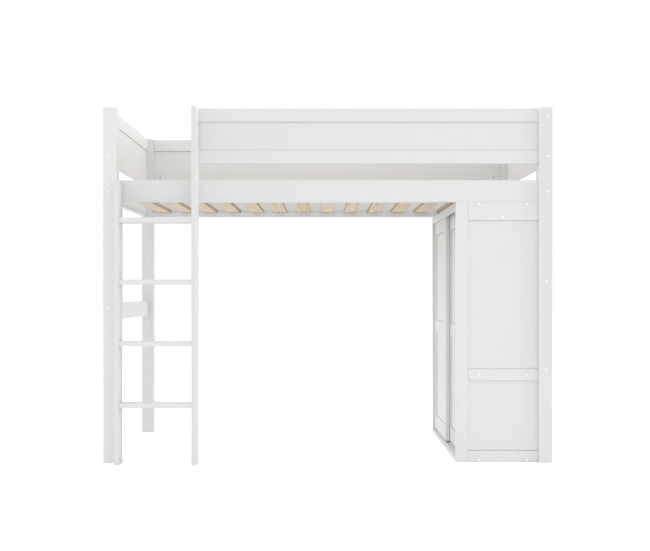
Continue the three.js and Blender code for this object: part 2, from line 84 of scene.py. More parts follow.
# Studio: a white world, softboxes at both sides, two more for single pieces, and a floor that glows
WORLD_STRENGTH = 1.04
LIGHT_SIZE = 3.5
LIGHT_TARGET = (0, 0, 0.8)
RIGHT_LIGHT = {"place": (5.5, -0.4, 3.4), "power": 50}
LOW_RIGHT_LIGHT = {"place": (5.5, -0.2, 1.3), "power": 162}
LEFT_LIGHT = {"place": (-5.5, -0.2, 3.0), "power": 128}
CROSS_RAIL_LIGHT = {"place": (3.0, -3.0, 1.0), "power": 85}
LEFT_POST_LIGHT = {"place": (0, -7.5, 1.2), "power": 42}
FLOOR_WHITE = 0.8
FLOOR_CLOUD = 0.01
FLOOR_GLOW = 0.5
FLOOR_ROUGHNESS = 0.9
FLOOR_SIZE = 60

# Pieces next to the softboxes at a side, by the beginnings of their names
LEFT_END = (
    "post_front_left", "post_rear_left", "guard_left", "bed_rail_left", "cross_rail_left", "ladder_side")
RIGHT_END = ("post_front_right", "post_rear_right", "guard_right", "bed_rail_right", "wardrobe_back")

# Materials: sockets of the colour mixer, the range in which a face comes to look along an axis, the
# roughness of the slats' side faces
MIX_COLOURS = (6, 7)
MIX_RESULT = 2
FACING_RANGE = (0.6, 0.8)
SIDE_ROUGHNESS = 0.85

# Boards
EDGE_EASING = 1.2 * MM
FINE_EASING = 0.6 * MM
SLAT_EASING = 2 * MM
POST_EASING = 0.4 * MM
PANEL_EASING = FINE_EASING / 2
EASING_STEPS = 3
CAD_EASING_STEPS = 2
FLAT_FACE_WEIGHT = 100
SHARP_ANGLE = math.radians(40)
WELD_DISTANCE = 0.01 * MM
FLAT_ANGLE = math.radians(1)
GROOVE_DEPTH = 7 * MM
GROOVE_PLAY = 0.6 * MM
JOINT_LINE = 0.7 * MM
CUT_MARGIN = 1 * MM

# Ladder
TREAD_NUMBERS = range(1, 5)
TREAD_EDGE_RADIUS = 2 * MM
STILE_TOP_RADIUS = 4 * MM
STILE_EASING = 0.6 * MM
HOUSING_GAP = 0.3 * MM
ROUND_STEPS = 4

# Wardrobe walls and doors
DOORS = ("door_outer", "door_inner")
WALL_STILE_WIDTH = 57 * MM
WALL_MID_RAIL = (378.5 * MM, 431.5 * MM)
DOOR_STILE_WIDTH = 52 * MM
DOOR_MID_RAIL = (564 * MM, 629 * MM)
DOOR_FLOOR_GAP = 6 * MM
DOOR_LIFT = 8 * MM
TONGUE_THICKNESS = 6 * MM
TONGUE_INSET = 45 * MM
ROD_SIDES = 64

# Shadow gaps in both faces of a panel, beside the rails that hold it
SHADOW_GAP_DEPTH = 4 * MM
GUARD_GAPS = {"top": 0.65 * MM, "bottom": 0.9 * MM}
WALL_GAPS = {"top": 0.55 * MM, "under_middle": 0.5 * MM, "over_middle": 0.7 * MM, "bottom": 1.4 * MM}
DOOR_GAPS = {"top": 1.0 * MM, "under_middle": 0.8 * MM, "over_middle": 0.8 * MM, "bottom": 1.0 * MM}

# Boards of the wardrobe that run from its front wall to its rear wall
WARDROBE_BOARDS = ("wardrobe_bottom_board", "wardrobe_shelf", "wardrobe_top_board")

# Bolts above the middles of the boards they hold, and screws in from the edges
BOLT_RISE = {"bed_rail_{}": -4 * MM, "guard_{}_bottom_rail": 3.5 * MM, "guard_{}_top_rail": -8 * MM}
BOLT_STAGGER = 12 * MM
CROSS_RAIL_BOLT_DROP = 24 * MM
WALL_SCREW_INSET = {"face": 106.5 * MM, "end": 114 * MM}
TREAD_SCREW_INSET = 15 * MM
STILE_SCREW_INSET = 20 * MM
GUARD_LAP = 21 * MM
NUT_INSET = 37.6 * MM

# Fittings, sunk below the face they sit in, or standing on it where the sink is negative
CAP = {"radius": 6.7 * MM, "depth": 2.2 * MM, "sink": 0.7 * MM}
CAP_STEPS = ((1.0 * MM, 0.25 * MM), (2.0 * MM, 0.2 * MM), (2.0 * MM, 0.05 * MM))
CAP_SEAT_RADIUS = 7 * MM
CAP_SEAT_DEPTH = 3 * MM
LOOKS_UP = 0.9
NUT = {"radius": 4.7 * MM, "depth": 1.6 * MM, "sink": 1.3 * MM}
NUT_SLOT = {"width": 1.3 * MM, "depth": 1.0 * MM}
PLUG = {"radius": 4.8 * MM, "depth": 2.8 * MM, "sink": 0.1 * MM}
SCREW = {"radius": 3.8 * MM, "depth": 1.6 * MM, "sink": -1.6 * MM}
SCREW_ROUNDING = SCREW["depth"] * 0.6
SCREW_SLOT = {"width": 0.9 * MM, "length": 4.4 * MM, "depth": 0.9 * MM}
PIN = {"radius": 1.6 * MM, "depth": 0.5 * MM, "sink": -0.5 * MM}
PIN_EASING = PIN["depth"] / 3
PIN_SPACING = 95 * MM
FITTING_EASING = 0.35 * MM
FINE_FITTING_EASING = FITTING_EASING / 2
SEAT_SIDES = 32
FITTING_SIDES = 24


# Camera, floor and light

def add_camera():
    data = bpy.data.cameras.new("camera")
    data.sensor_width = SENSOR_WIDTH
    data.lens = FOCAL_PIXELS / IMAGE_WIDTH * SENSOR_WIDTH
    data.shift_x = (IMAGE_WIDTH / 2 - CENTRE_PIXEL[0]) / IMAGE_WIDTH
    data.shift_y = (CENTRE_PIXEL[1] - IMAGE_HEIGHT / 2) / IMAGE_WIDTH
    camera = bpy.data.objects.new("camera", data)
    camera.location = CAMERA_PLACE
    camera.rotation_euler = LEVEL_VIEW
    bpy.context.scene.collection.objects.link(camera)
    bpy.context.scene.camera = camera


def add_world():
    world = bpy.data.worlds.new("studio")
    world.use_nodes = True
    background = world.node_tree.nodes["Background"]
    background.inputs["Color"].default_value = (1, 1, 1, 1)
    background.inputs["Strength"].default_value = WORLD_STRENGTH
    bpy.context.scene.world = world


def add_softbox(name, place, power):
    data = bpy.data.lights.new(name, "AREA")
    data.shape = "SQUARE"
    data.size = LIGHT_SIZE
    data.energy = power
    lamp = bpy.data.objects.new(name, data)
    lamp.location = place
    direction = Vector(LIGHT_TARGET) - Vector(place)
    lamp.rotation_euler = direction.to_track_quat("-Z", "Y").to_euler()
    bpy.context.scene.collection.objects.link(lamp)
    return lamp


def link_light(lamps, state, beginnings):
    """Has lamps light only the pieces whose names begin so (INCLUDE), or all but those (EXCLUDE)."""
    linked = bpy.data.collections.new(f"{state.lower()}_{lamps[0].name}")
    for piece in bpy.context.scene.objects:
        if piece.type == "MESH" and piece.name.startswith(beginnings):
            linked.objects.link(piece)
    for lamp in lamps:
        lamp.light_linking.receiver_collection = linked
    for entry in linked.collection_objects:
        entry.light_linking.link_state = state


def add_lamps():
    """The lamps, by where they stand or what they light."""
    right = [add_softbox("right_light", **RIGHT_LIGHT), add_softbox("low_right_light", **LOW_RIGHT_LIGHT)]
    return {
        "right": right,
        "left": [add_softbox("left_light", **LEFT_LIGHT)],
        "cross_rail": [add_softbox("cross_rail_light", **CROSS_RAIL_LIGHT)],
        "left_post": [add_softbox("left_post_light", **LEFT_POST_LIGHT)],
    }


def aim_lamps(lamps):
    """A softbox leaves out the pieces next to it, which would burn out. Two further lamps each light one
    piece that the softboxes don't reach well."""
    link_light(lamps["right"], "EXCLUDE", RIGHT_END)
    link_light(lamps["left"], "EXCLUDE", LEFT_END)
    link_light(lamps["cross_rail"], "INCLUDE", ("cross_rail_left",))
    link_light(lamps["left_post"], "INCLUDE", ("post_front_left",))


def add_floor():
    deselect_all()
    bpy.ops.mesh.primitive_plane_add(size=FLOOR_SIZE)
    floor = settle(bpy.context.object, "studio_floor")
    floor.data.materials.append(floor_finish())
    lit = bpy.data.collections.new("lit_by_floor_glow")
    lit.objects.link(floor)
    floor.light_linking.receiver_collection = lit


# Materials

class Finish:
    """One material built from nodes."""

    def __init__(self, name):
        self.material = bpy.data.materials.new(name)
        self.material.use_nodes = True
        self.tree = self.material.node_tree
        self.tree.nodes.clear()
        self.coordinates = self.add("ShaderNodeTexCoord")
        self.place = self.coordinates.outputs["Object"]

    def set_input(self, node, key, value):
        """Links a socket, or sets a number, a vector or a colour."""
        if isinstance(value, bpy.types.NodeSocket):
            self.tree.links.new(value, node.inputs[key])
        else:
            node.inputs[key].default_value = value

    def add(self, kind, settings=None, inputs=None):
        node = self.tree.nodes.new(kind)
        for key, value in (settings or {}).items():
            setattr(node, key, value)
        for key, value in (inputs or {}).items():
            self.set_input(node, key, value)
        return node

    def stretched(self, scale):
        return self.add("ShaderNodeMapping", {}, {"Vector": self.place, "Scale": scale}).outputs["Vector"]

    def noise(self, vector, scale, detail=2.0, roughness=0.5, distortion=0.0):
        inputs = {"Vector": vector, "Scale": scale, "Detail": detail}
        inputs.update({"Roughness": roughness, "Distortion": distortion})
        return self.add("ShaderNodeTexNoise", {}, inputs).outputs["Fac"]

    def ranged(self, value, source, target=(0.0, 1.0)):
        """Takes a value from one range to another, and no further than its ends."""
        inputs = {"Value": value, "From Min": source[0], "From Max": source[1]}
        inputs.update({"To Min": target[0], "To Max": target[1]})
        return self.add("ShaderNodeMapRange", {}, inputs).outputs["Result"]

    def maths(self, operation, first, second=0.0):
        return self.add("ShaderNodeMath", {"operation": operation}, {0: first, 1: second}).outputs["Value"]

    def mixed(self, factor, first, second, blend="MIX"):
        node = self.add("ShaderNodeMix", {"data_type": "RGBA", "blend_type": blend}, {"Factor": factor})
        for key, colour in zip(MIX_COLOURS, (first, second)):
            is_socket = isinstance(colour, bpy.types.NodeSocket)
            self.set_input(node, key, colour if is_socket else (*colour, 1))
        return node.outputs[MIX_RESULT]

    def facing(self, axis):
        """1 on the faces that look along an axis, either way, and 0 on the others."""
        parts = self.add("ShaderNodeSeparateXYZ", {}, {"Vector": self.coordinates.outputs["Normal"]})
        return self.ranged(self.maths("ABSOLUTE", parts.outputs[axis.upper()]), FACING_RANGE)

    def bump(self, height, strength, distance, under=None):
        inputs = {"Height": height, "Strength": strength, "Distance": distance}
        if under is not None:
            inputs["Normal"] = under
        return self.add("ShaderNodeBump", {}, inputs).outputs["Normal"]

    def finish(self, **sockets):
        inputs = {key.replace("_", " "): value for key, value in sockets.items()}
        shader = self.add("ShaderNodeBsdfPrincipled", {}, inputs)
        self.add("ShaderNodeOutputMaterial", {}, {"Surface": shader.outputs["BSDF"]})
        return self.material


def grain_scale(axis, along, across):
    return tuple(along if name == axis else across for name in AXES)


def lacquer_finish(axis):
    """Satin white lacquer sprayed over close-grained wood, the grain along one axis."""
    white, greyer = (0.752, 0.755, 0.755), (0.732, 0.735, 0.733)
    finish = Finish(f"white_lacquer_{axis}")
    fibres = finish.stretched(grain_scale(axis, along=0.04, across=1.0))
    boards = finish.stretched(grain_scale(axis, along=0.12, across=1.0))
    pores = finish.noise(fibres, scale=420, detail=5, roughness=0.6)
    figure = finish.noise(boards, scale=26, detail=3, roughness=0.55, distortion=0.6)
    peel = finish.noise(finish.place, scale=520)
    pore_shade = finish.ranged(pores, (0.35, 0.7), (0, 0.45))
    figure_shade = finish.ranged(figure, (0.3, 0.7), (0, 0.55))
    colour = finish.mixed(finish.maths("ADD", pore_shade, figure_shade), white, greyer)
    roughness = finish.ranged(finish.maths("ADD", pores, peel), (0.6, 1.4), (0.36, 0.5))
    grain_bump = finish.bump(pores, strength=0.10, distance=0.3 * MM)
    normal = finish.bump(peel, strength=0.06, distance=0.2 * MM, under=grain_bump)
    return finish.finish(Base_Color=colour, Roughness=roughness, Normal=normal)


def pine_rings(finish, axis):
    """Growth lines about the grain, bent by a slow noise."""
    grain = finish.stretched(grain_scale(axis, along=0.07, across=1.0))
    wander = finish.noise(grain, scale=9, detail=3)
    sway = {0: wander, 1: (0.03, 0.03, 0.03), 2: grain}
    bent = finish.add("ShaderNodeVectorMath", {"operation": "MULTIPLY_ADD"}, sway).outputs["Vector"]
    settings = {"wave_type": "RINGS", "rings_direction": axis.upper(), "wave_profile": "SAW"}
    inputs = {"Vector": bent, "Scale": 42.0, "Distortion": 2.2, "Detail": 2.0, "Detail Scale": 1.2}
    return finish.add("ShaderNodeTexWave", settings, inputs).outputs["Fac"]


def pine_knots(finish, axis):
    """1 in the few knots, and 0 round them."""
    place = finish.stretched(grain_scale(axis, along=1.6, across=2.6))
    inputs = {"Vector": place, "Scale": 3.2, "Randomness": 1.0}
    distance = finish.add("ShaderNodeTexVoronoi", {"feature": "F1"}, inputs).outputs["Distance"]
    return finish.ranged(distance, (0.05, 0.085), (1, 0))


def pine_finish(axis, side_shade_axis=None):
    """Bare planed pine with growth lines, fine fibres and a few knots, the grain along one axis.
    The faces that look along the given axis, the sides of the slats, are rougher and carry painted shade."""
    early_wood = ((0.77, 0.675, 0.545), (0.71, 0.60, 0.465))
    late_wood = ((0.61, 0.475, 0.33), (0.55, 0.41, 0.275))
    fibre_brown, knot_brown, painted_side_shade_colour = (0.59, 0.46, 0.31), (0.26, 0.14, 0.07), (0.56, 0.53, 0.5)
    finish = Finish(f"natural_pine_{axis}" + ("_sawn" if side_shade_axis else ""))
    rings = pine_rings(finish, axis)
    threads = finish.stretched(grain_scale(axis, along=0.03, across=1.0))
    fibres = finish.noise(threads, scale=700, detail=4, roughness=0.65)
    patches = finish.noise(finish.place, scale=7)
    knot = pine_knots(finish, axis)
    early, late = (finish.mixed(patches, *tones) for tones in (early_wood, late_wood))
    wood = finish.mixed(finish.ranged(rings, (0.4, 1.0), (0, 0.9)), early, late)
    wood = finish.mixed(finish.ranged(fibres, (0.4, 0.75), (0, 0.3)), wood, fibre_brown)
    wood = finish.mixed(knot, wood, knot_brown)
    roughness = finish.ranged(fibres, (0.3, 0.7), (0.5, 0.68))
    if side_shade_axis:
        # Painted shade: the faces along this axis, the sides of the slats, are darkened by a multiplied
        # grey-brown
        side = finish.facing(side_shade_axis)
        wood = finish.mixed(side, wood, finish.mixed(1.0, wood, painted_side_shade_colour, "MULTIPLY"))
        roughness = finish.maths("MAXIMUM", roughness, finish.maths("MULTIPLY", side, SIDE_ROUGHNESS))
    ring_bump = finish.bump(rings, strength=0.12, distance=0.3 * MM)
    normal = finish.bump(fibres, strength=0.25, distance=0.25 * MM, under=ring_bump)
    return finish.finish(Base_Color=wood, Roughness=roughness, Normal=normal)


def cap_finish():
    """White moulded plastic, glossier and whiter than the lacquer round it."""
    finish = Finish("white_plastic")
    cloud = finish.noise(finish.place, scale=300)
    skin = finish.noise(finish.place, scale=2600)
    bright, dull = (0.93, 0.93, 0.93), (0.90, 0.90, 0.895)
    colour = finish.mixed(cloud, bright, dull)
    roughness = finish.ranged(cloud, (0.3, 0.7), (0.2, 0.3))
    normal = finish.bump(skin, strength=0.05, distance=0.05 * MM)
    return finish.finish(Base_Color=colour, Roughness=roughness, Normal=normal)


def zinc_finish():
    """Dull zinc-plated steel with faint turning marks and a bloom."""
    finish = Finish("zinc_plate")
    bloom = finish.noise(finish.place, scale=380, detail=3, roughness=0.6)
    marks = finish.noise(finish.stretched(grain_scale("z", along=6, across=1)), scale=900)
    bare, bloomed = (0.50, 0.51, 0.52), (0.36, 0.36, 0.35)
    colour = finish.mixed(bloom, bare, bloomed)
    roughness = finish.ranged(bloom, (0.3, 0.7), (0.25, 0.42))
    normal = finish.bump(marks, strength=0.15, distance=0.05 * MM)
    return finish.finish(Base_Color=colour, Metallic=1.0, Roughness=roughness, Normal=normal)


def floor_finish():
    """White studio floor. Its glow whitens the floor alone, and leaves only soft, short shadows on it."""
    finish = Finish("studio_floor")
    cloud = finish.noise(finish.place, scale=1.2)
    colour = finish.mixed(cloud, (FLOOR_WHITE,) * 3, (FLOOR_WHITE - FLOOR_CLOUD,) * 3)
    glow = {"Emission_Color": (1, 1, 1, 1), "Emission_Strength": FLOOR_GLOW}
    return finish.finish(Base_Color=colour, Roughness=FLOOR_ROUGHNESS, **glow)


# Modelling helpers

def deselect_all():
    bpy.ops.object.select_all(action="DESELECT")


def make_active(piece):
    deselect_all()
    piece.select_set(True)
    bpy.context.view_layer.objects.active = piece


def settle(piece, name):
    """Moves the place of a new primitive into its mesh."""
    make_active(piece)
    bpy.ops.object.transform_apply(location=True, rotation=True, scale=True)
    piece.name = name
    piece.data.name = name
    return piece


def add_block(name, low, high):
    deselect_all()
    low, high = Vector(low), Vector(high)
    bpy.ops.mesh.primitive_cube_add(size=1, location=(low + high) / 2, scale=high - low)
    return settle(bpy.context.object, name)


def add_rod(name, centre, along, radius, length, sides=SEAT_SIDES):
    deselect_all()
    turn = AXES["z"].rotation_difference(along).to_euler()
    bpy.ops.mesh.primitive_cylinder_add(
        vertices=sides, radius=radius, depth=length, location=centre, rotation=turn)
    return settle(bpy.context.object, name)


def apply_modifier(piece, kind, **settings):
    make_active(piece)
    modifier = piece.modifiers.new(kind.lower(), kind)
    for key, value in settings.items():
        setattr(modifier, key, value)
    bpy.ops.object.modifier_apply(modifier=modifier.name)


def cut_away(piece, *cutters):
    """Takes each cutter out of a piece, and removes the cutter."""
    for cutter in cutters:
        apply_modifier(piece, "BOOLEAN", operation="DIFFERENCE", solver="EXACT", object=cutter)
        bpy.data.objects.remove(cutter)
    return piece


def select_in(piece, parts, mode, wanted):
    """Opens a piece in edit mode with only the wanted faces or edges selected."""
    make_active(piece)
    bpy.context.tool_settings.mesh_select_mode = mode
    mesh = piece.data
    for group in (mesh.vertices, mesh.edges, mesh.polygons):
        group.foreach_set("select", [False] * len(group))
    for part in parts(mesh):
        part.select = wanted(part)
    bpy.ops.object.mode_set(mode="EDIT")


def select_faces(piece, wanted):
    select_in(piece, lambda mesh: mesh.polygons, (False, False, True), wanted)


def select_edges(piece, wanted):
    """Edges for which wanted(first end, second end) holds."""
    points = piece.data.vertices
    select_in(
        piece, lambda mesh: mesh.edges, (False, True, False),
        lambda edge: wanted(points[edge.vertices[0]].co, points[edge.vertices[1]].co))


def round_edges(piece, radius, steps, wanted):
    select_edges(piece, wanted)
    bpy.ops.mesh.bevel(offset=radius, segments=steps, affect="EDGES", clamp_overlap=True)
    bpy.ops.object.mode_set(mode="OBJECT")


def smooth_surface(piece):
    """Smooth shading that keeps the large faces flat and the eased edges round."""
    make_active(piece)
    bpy.ops.object.shade_smooth_by_angle(angle=SHARP_ANGLE)
    apply_modifier(piece, "WEIGHTED_NORMAL", keep_sharp=True, weight=FLAT_FACE_WEIGHT)


def ease_edges(piece, width, steps=EASING_STEPS):
    apply_modifier(
        piece, "BEVEL", width=width, segments=steps, limit_method="ANGLE", angle_limit=SHARP_ANGLE)
    smooth_surface(piece)
    return piece


def dress(piece, finish, body="root"):
    piece.data.materials.clear()
    piece.data.materials.append(finish)
    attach(piece, body)
    return piece


def middle(node):
    low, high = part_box(node)
    return (low + high) / 2


def long_axis(low, high):
    size = dict(zip(AXES, high - low))
    return max(size, key=size.get)


def grown(low, high, margin):
    """A box drawn out on all its sides."""
    reach = Vector((margin, margin, margin))
    return low - reach, high + reach


def face_of(node, side):
    """Coordinate of the face of a node that looks to a side."""
    low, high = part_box(node)
    outward = OUTWARD[side]
    return (high if sum(outward) > 0 else low).dot(Vector(map(abs, outward)))


# Boards that stay as they are packed, their edges eased by modifiers

def easing_of(name):
    if name.startswith("slat_") and "ledger" not in name:
        return SLAT_EASING
    if name.startswith("post_"):
        return POST_EASING
    if "panel" in name:
        return FINE_EASING
    return EDGE_EASING


def dress_cad_node(name, finish):
    node = NODES[name]
    node.modifiers.new("weld", "WELD").merge_threshold = WELD_DISTANCE
    flat = node.modifiers.new("flat", "DECIMATE")
    flat.decimate_type = "DISSOLVE"
    flat.angle_limit = FLAT_ANGLE
    bevel = node.modifiers.new("eased", "BEVEL")
    bevel.width = easing_of(name)
    bevel.segments = CAD_EASING_STEPS
    bevel.limit_method = "ANGLE"
    bevel.angle_limit = SHARP_ANGLE
    node.material_slots[0].material = finish


# Places of the fittings: each a point on a face and the way that face looks

def end_bolts(end):
    """Heights of the bolts along Y, by the board at that end of the bed."""
    bolts = {board.format(end): middle(board.format(end)).z + rise for board, rise in BOLT_RISE.items()}
    if end == "left":
        bolts["cross_rail_left"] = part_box("cross_rail_left")[1].z - CROSS_RAIL_BOLT_DROP
    else:
        for level in ("lower", "upper"):
            node = f"wardrobe_back_rail_{level}"
            bolts[node] = middle(node).z
    return bolts


def side_bolts(side):
    """Heights of the bolts along X, by the board on that side of the bed."""
    boards = {board.format(side): rise for board, rise in BOLT_RISE.items()}
    return {board: middle(board).z + rise + BOLT_STAGGER for board, rise in boards.items()}


def has_bolt(board, end):
    """The front guard stops short of the left post, because the ladder leads in there."""
    return not (end == "left" and board.startswith("guard_front"))


def post_caps(end, side):
    post = f"post_{side}_{end}"
    places = [
        (Vector((middle(board).x, face_of(post, side), height)), OUTWARD[side])
        for board, height in end_bolts(end).items()
    ]
    for board, height in side_bolts(side).items():
        if has_bolt(board, end):
            places.append((Vector((face_of(post, end), middle(board).y, height)), OUTWARD[end]))
    return places


def wall_caps(side):
    face = face_of(f"wardrobe_{side}_frame", side)
    near = face_of("wardrobe_front_frame", "left") + WALL_SCREW_INSET["face"]
    far = face_of("post_front_right", "right") - WALL_SCREW_INSET["end"]
    points = [Vector((x, face, middle(board).z)) for board in WARDROBE_BOARDS for x in (near, far)]
    rail = middle("clothes_rail")
    points.append(Vector((rail.x, face, rail.z)))
    return [(point, OUTWARD[side]) for point in points]


def stile_caps(side):
    face = face_of(f"ladder_stile_{side}", side)
    places = []
    for number in TREAD_NUMBERS:
        tread = f"ladder_tread_{number}"
        front, rear = face_of(tread, "front"), face_of(tread, "rear")
        for y in (front + TREAD_SCREW_INSET, rear - TREAD_SCREW_INSET):
            places.append((Vector((face, y, middle(tread).z)), OUTWARD[side]))
    return places


def front_rail_caps():
    """Over the screws through the front bed rail into the ladder's stiles."""
    face = face_of("bed_rail_front", "rear")
    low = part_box("bed_rail_front")[0].z + STILE_SCREW_INSET
    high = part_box("ladder_stile_left")[1].z - STILE_SCREW_INSET
    columns = [middle(f"ladder_stile_{side}").x for side in ("left", "right")]
    return [(Vector((x, face, z)), OUTWARD["rear"]) for x in columns for z in (low, high)]


def front_guard_caps():
    """Over the screws through the free end of the front guard into the right stile."""
    places = []
    for board in ("guard_front_bottom_rail", "guard_front_top_rail"):
        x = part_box(board)[0].x + GUARD_LAP / 2
        places.append((Vector((x, face_of(board, "rear"), middle(board).z)), OUTWARD["rear"]))
    return places


def is_plugged(board):
    """The nuts in the top rails of the guards lie under lacquered plugs."""
    return "top_rail" in board


def end_nuts(end, plugged=False):
    """Nuts of the bolts along Y. Those of the rails behind the wardrobe sit in their outer faces."""
    inward = "right" if end == "left" else "left"
    front, rear = face_of("post_front_left", "rear"), face_of("post_rear_left", "front")
    rows = (front + NUT_INSET, rear - NUT_INSET)
    places = []
    for board, height in end_bolts(end).items():
        if is_plugged(board) != plugged:
            continue
        side = "right" if "back_rail" in board else inward
        face = face_of(board, side)
        places += [(Vector((face, y, height)), OUTWARD[side]) for y in rows]
    return places


def side_nuts(side, plugged=False):
    """Nuts of the bolts along X."""
    inward = "rear" if side == "front" else "front"
    places = []
    for board, height in side_bolts(side).items():
        if is_plugged(board) != plugged:
            continue
        face = face_of(board, inward)
        if has_bolt(board, "left"):
            x = face_of("post_front_left", "right") + NUT_INSET
            places.append((Vector((x, face, height)), OUTWARD[inward]))
        x = face_of("post_front_right", "left") - NUT_INSET
        places.append((Vector((x, face, height)), OUTWARD[inward]))
    return places


def slat_screws(side):
    """One screw through each slat into the ledger under its end."""
    y = middle(f"slat_ledger_{side}").y
    slats = sorted(name for name in NODES if name.startswith("slat_") and "ledger" not in name)
    return [(Vector((middle(slat).x, y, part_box(slat)[1].z)), OUTWARD["up"]) for slat in slats]


def back_pins():
    """Pins through the back panel into the edges of the boards behind it."""
    face = face_of("wardrobe_back_panel", "right")
    low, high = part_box("wardrobe_back_panel")
    count = round((high.y - low.y) / PIN_SPACING)
    rows = [low.y + (high.y - low.y) * (i + 0.5) / count for i in range(count)]
    heights = [middle(board).z for board in WARDROBE_BOARDS]
    return [(Vector((face, y, z)), OUTWARD["right"]) for z in heights for y in rows]


# Fittings, each modelled once at the origin, looking up

def fitting_body(name, radius, depth, sink):
    return add_rod(name, (0, 0, -sink - depth / 2), AXES["z"], radius, depth, FITTING_SIDES)


def model_cap():
    """Round cover cap with a low dome."""
    cap = fitting_body("cap", **CAP)
    for width, rise in CAP_STEPS:
        top = max(vertex.co.z for vertex in cap.data.vertices)
        select_faces(cap, lambda face: face.normal.z > LOOKS_UP and face.center.z > top - WELD_DISTANCE)
        bpy.ops.mesh.inset(thickness=width)
        bpy.ops.transform.translate(value=(0, 0, rise))
        bpy.ops.object.mode_set(mode="OBJECT")
    return ease_edges(cap, FITTING_EASING)


def model_nut():
    """End of a barrel nut, with a slot to turn it by."""
    nut = fitting_body("nut", **NUT)
    reach = NUT["radius"] + CUT_MARGIN
    width, top = NUT_SLOT["width"] / 2, -NUT["sink"]
    slot = add_block("slot", (-reach, -width, top - NUT_SLOT["depth"]), (reach, width, top + CUT_MARGIN))
    return ease_edges(cut_away(nut, slot), FINE_FITTING_EASING)


def model_plug():
    """Flat plug, its edge eased, lacquered with the board round it."""
    return ease_edges(fitting_body("plug", **PLUG), FINE_FITTING_EASING)


def model_screw():
    """Head of a cross-slotted screw, its edge well rounded."""
    screw = fitting_body("screw", **SCREW)
    top = -SCREW["sink"]
    round_edges(screw, SCREW_ROUNDING, ROUND_STEPS, lambda a, b: min(a.z, b.z) > top - WELD_DISTANCE)
    long, wide = SCREW_SLOT["length"] / 2, SCREW_SLOT["width"] / 2
    for x, y in ((long, wide), (wide, long)):
        low, high = (-x, -y, top - SCREW_SLOT["depth"]), (x, y, top + CUT_MARGIN)
        cut_away(screw, add_block("slot", low, high))
    smooth_surface(screw)
    return screw


def model_pin():
    return ease_edges(fitting_body("pin", **PIN), PIN_EASING)


def set_fittings(name, model, places, finish):
    """Copies of one fitting, each turned to look out of its face, joined into one piece."""
    copies = []
    for centre, outward in places:
        make_active(model)
        bpy.ops.object.duplicate()
        copy = bpy.context.object
        turn = AXES["z"].rotation_difference(outward).to_matrix().to_4x4()
        copy.matrix_world = Matrix.Translation(centre) @ turn
        copies.append(settle(copy, name))
    make_active(copies[0])
    for copy in copies:
        copy.select_set(True)
    bpy.ops.object.join()
    return dress(settle(copies[0], name), finish)


def add_fittings(lacquers):
    plastic, zinc = cap_finish(), zinc_finish()
    cap, nut, screw, pin = model_cap(), model_nut(), model_screw(), model_pin()
    plug = model_plug()
    for side in ("front", "rear"):
        for end in ("left", "right"):
            set_fittings(f"caps_post_{side}_{end}", cap, post_caps(end, side), plastic)
        set_fittings(f"caps_wall_{side}", cap, wall_caps(side), plastic)
        set_fittings(f"nuts_{side}", nut, side_nuts(side), zinc)
        set_fittings(f"plugs_{side}", plug, side_nuts(side, plugged=True), lacquers["x"])
        set_fittings(f"slat_screws_{side}", screw, slat_screws(side), zinc)
    for end in ("left", "right"):
        set_fittings(f"caps_ladder_side_{end}", cap, stile_caps(end), plastic)
        set_fittings(f"nuts_{end}_end", nut, end_nuts(end), zinc)
        set_fittings(f"plugs_{end}_end", plug, end_nuts(end, plugged=True), lacquers["y"])
    set_fittings("caps_bed_rail", cap, front_rail_caps(), plastic)
    set_fittings("caps_guard", cap, front_guard_caps(), plastic)
    set_fittings("back_panel_pins", pin, back_pins(), zinc)
    for model in (cap, nut, plug, screw, pin):
        bpy.data.objects.remove(model)


def cut_cap_seats(piece, places):
    """Seats for those caps that look out of this piece."""
    corners = [Vector(corner) for corner in piece.bound_box]
    low, high = grown(min(corners, key=sum), max(corners, key=sum), CUT_MARGIN)
    for centre, outward in places:
        if all(a < b < c for a, b, c in zip(low, centre, high)):
            cut_away(piece, add_rod("seat", centre, outward, CAP_SEAT_RADIUS, 2 * CAP_SEAT_DEPTH))


# Ladder

def model_tread(number):
    node = f"ladder_tread_{number}"
    low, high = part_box(node)
    tread = add_block(f"tread_{number}", low, high)
    round_edges(tread, TREAD_EDGE_RADIUS, ROUND_STEPS, lambda a, b: abs(a.x - b.x) > CUT_MARGIN)
    ease_edges(tread, FINE_EASING)
    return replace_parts(tread, node)


def model_stile(side):
    """Stile let over the face of the bed rail behind it, and the taller right one over the guard too."""
    node = f"ladder_stile_{side}"
    low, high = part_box(node)
    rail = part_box("bed_rail_front")[0]
    stile = add_block(f"ladder_side_{side}", low, high)
    housing = (low.x - CUT_MARGIN, rail.y - HOUSING_GAP, rail.z - HOUSING_GAP)
    reach = (high.x + CUT_MARGIN, high.y + CUT_MARGIN, high.z + CUT_MARGIN)
    cut_away(stile, add_block("housing", housing, reach))
    top = high.z - CUT_MARGIN

    def across_top(a, b):
        return min(a.z, b.z) > top and abs(a.x - b.x) > CUT_MARGIN

    round_edges(stile, STILE_TOP_RADIUS, ROUND_STEPS, across_top)
    cut_cap_seats(stile, stile_caps(side))
    ease_edges(stile, STILE_EASING)
    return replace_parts(stile, node)


# Panels, each between two rails

